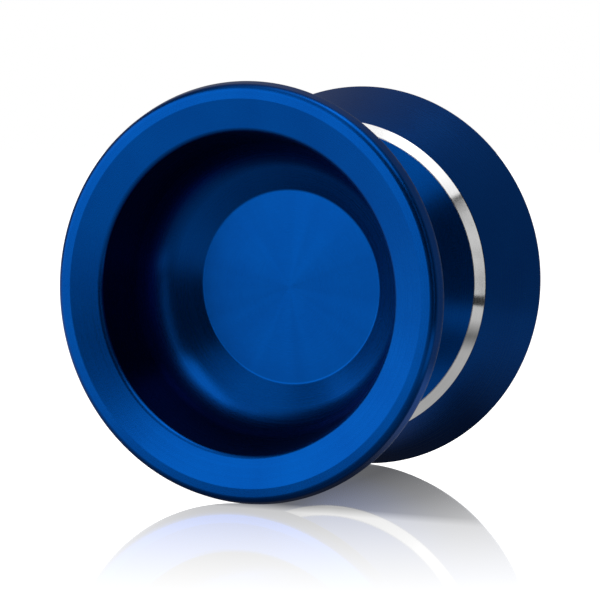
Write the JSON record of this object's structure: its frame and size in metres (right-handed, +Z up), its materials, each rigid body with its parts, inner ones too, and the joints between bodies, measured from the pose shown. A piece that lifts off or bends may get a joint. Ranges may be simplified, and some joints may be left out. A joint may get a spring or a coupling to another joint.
{
  "type": "yo-yo",
  "caption": "Metal yo-yo of two flared cups joined by an axle screw, with steel weight rings in the string side and a ball bearing that carries the string.",
  "frame": {"origin": "centre of the ball bearing, on the spin axis in the mid-plane of the string gap", "axes": "+Y along the spin axis from the front half to the rear half, +Z up and +X to the right as the yo-yo stands on its two rims"},
  "size_m": [0.055, 0.0418, 0.055],
  "materials": {
    "anodised_aluminium": "satin blue anodising over fine turning marks",
    "polished_steel": "polished stainless steel",
    "silicone": "matt translucent white silicone",
    "black_oxide_steel": "black oxide",
    "bearing_steel": "ground stainless steel",
    "ball_steel": "mirror polished",
    "cage_steel": "pressed and tumbled",
    "shield_steel": "pressed sheet, satin",
    "spring_steel": "dark spring wire"
  },
  "bodies": {
    "yoyo": {"body_half_front": "anodised_aluminium", "body_half_rear": "anodised_aluminium", "weight_ring_front": "polished_steel", "weight_ring_rear": "polished_steel", "response_pad_front": "silicone", "response_pad_rear": "silicone", "axle_screw": "black_oxide_steel", "bearing_inner_race": "bearing_steel"},
    "outer_race": {"bearing_outer_race": "bearing_steel", "bearing_shield_front": "shield_steel", "bearing_shield_rear": "shield_steel", "bearing_snap_ring_front": "spring_steel", "bearing_snap_ring_rear": "spring_steel"},
    "ball_cage": {"bearing_cage": "cage_steel"},
    "ball_1": {"bearing_ball_1": "ball_steel"},
    "ball_2": {"bearing_ball_2": "ball_steel"},
    "ball_3": {"bearing_ball_3": "ball_steel"},
    "ball_4": {"bearing_ball_4": "ball_steel"},
    "ball_5": {"bearing_ball_5": "ball_steel"},
    "ball_6": {"bearing_ball_6": "ball_steel"},
    "ball_7": {"bearing_ball_7": "ball_steel"},
    "ball_8": {"bearing_ball_8": "ball_steel"},
    "ball_9": {"bearing_ball_9": "ball_steel"},
    "ball_10": {"bearing_ball_10": "ball_steel"}
  },
  "joints": [
    {"name": "outer_race_spin", "type": "hinge", "parent": "yoyo", "child": "outer_race", "pos_m": [0, 0, 0], "axis": [0, 1, 0], "continuous": true},
    {"name": "cage_spin", "type": "hinge", "parent": "yoyo", "child": "ball_cage", "pos_m": [0, 0, 0], "axis": [0, 1, 0], "continuous": true},
    {"name": "ball_1_spin", "type": "hinge", "parent": "ball_cage", "child": "ball_1", "pos_m": [0.00385, 0, -0.0028], "axis": [0, 1, 0], "continuous": true},
    {"name": "ball_2_spin", "type": "hinge", "parent": "ball_cage", "child": "ball_2", "pos_m": [0.00147, 0, -0.00453], "axis": [0, 1, 0], "continuous": true},
    {"name": "ball_3_spin", "type": "hinge", "parent": "ball_cage", "child": "ball_3", "pos_m": [-0.00147, 0, -0.00453], "axis": [0, 1, 0], "continuous": true},
    {"name": "ball_4_spin", "type": "hinge", "parent": "ball_cage", "child": "ball_4", "pos_m": [-0.00385, 0, -0.0028], "axis": [0, 1, 0], "continuous": true},
    {"name": "ball_5_spin", "type": "hinge", "parent": "ball_cage", "child": "ball_5", "pos_m": [-0.00476, 0, 0], "axis": [0, 1, 0], "continuous": true},
    {"name": "ball_6_spin", "type": "hinge", "parent": "ball_cage", "child": "ball_6", "pos_m": [-0.00385, 0, 0.0028], "axis": [0, 1, 0], "continuous": true},
    {"name": "ball_7_spin", "type": "hinge", "parent": "ball_cage", "child": "ball_7", "pos_m": [-0.00147, 0, 0.00453], "axis": [0, 1, 0], "continuous": true},
    {"name": "ball_8_spin", "type": "hinge", "parent": "ball_cage", "child": "ball_8", "pos_m": [0.00147, 0, 0.00453], "axis": [0, 1, 0], "continuous": true},
    {"name": "ball_9_spin", "type": "hinge", "parent": "ball_cage", "child": "ball_9", "pos_m": [0.00385, 0, 0.0028], "axis": [0, 1, 0], "continuous": true},
    {"name": "ball_10_spin", "type": "hinge", "parent": "ball_cage", "child": "ball_10", "pos_m": [0.00476, 0, 0], "axis": [0, 1, 0], "continuous": true}
  ],
  "couplings": [
    {"joint": "cage_spin", "follows": "outer_race_spin", "ratio": 0.58333},
    {"joint": "ball_1_spin", "follows": "outer_race_spin", "ratio": 2.9167},
    {"joint": "ball_2_spin", "follows": "outer_race_spin", "ratio": 2.9167},
    {"joint": "ball_3_spin", "follows": "outer_race_spin", "ratio": 2.9167},
    {"joint": "ball_4_spin", "follows": "outer_race_spin", "ratio": 2.9167},
    {"joint": "ball_5_spin", "follows": "outer_race_spin", "ratio": 2.9167},
    {"joint": "ball_6_spin", "follows": "outer_race_spin", "ratio": 2.9167},
    {"joint": "ball_7_spin", "follows": "outer_race_spin", "ratio": 2.9167},
    {"joint": "ball_8_spin", "follows": "outer_race_spin", "ratio": 2.9167},
    {"joint": "ball_9_spin", "follows": "outer_race_spin", "ratio": 2.9167},
    {"joint": "ball_10_spin", "follows": "outer_race_spin", "ratio": 2.9167}
  ]
}
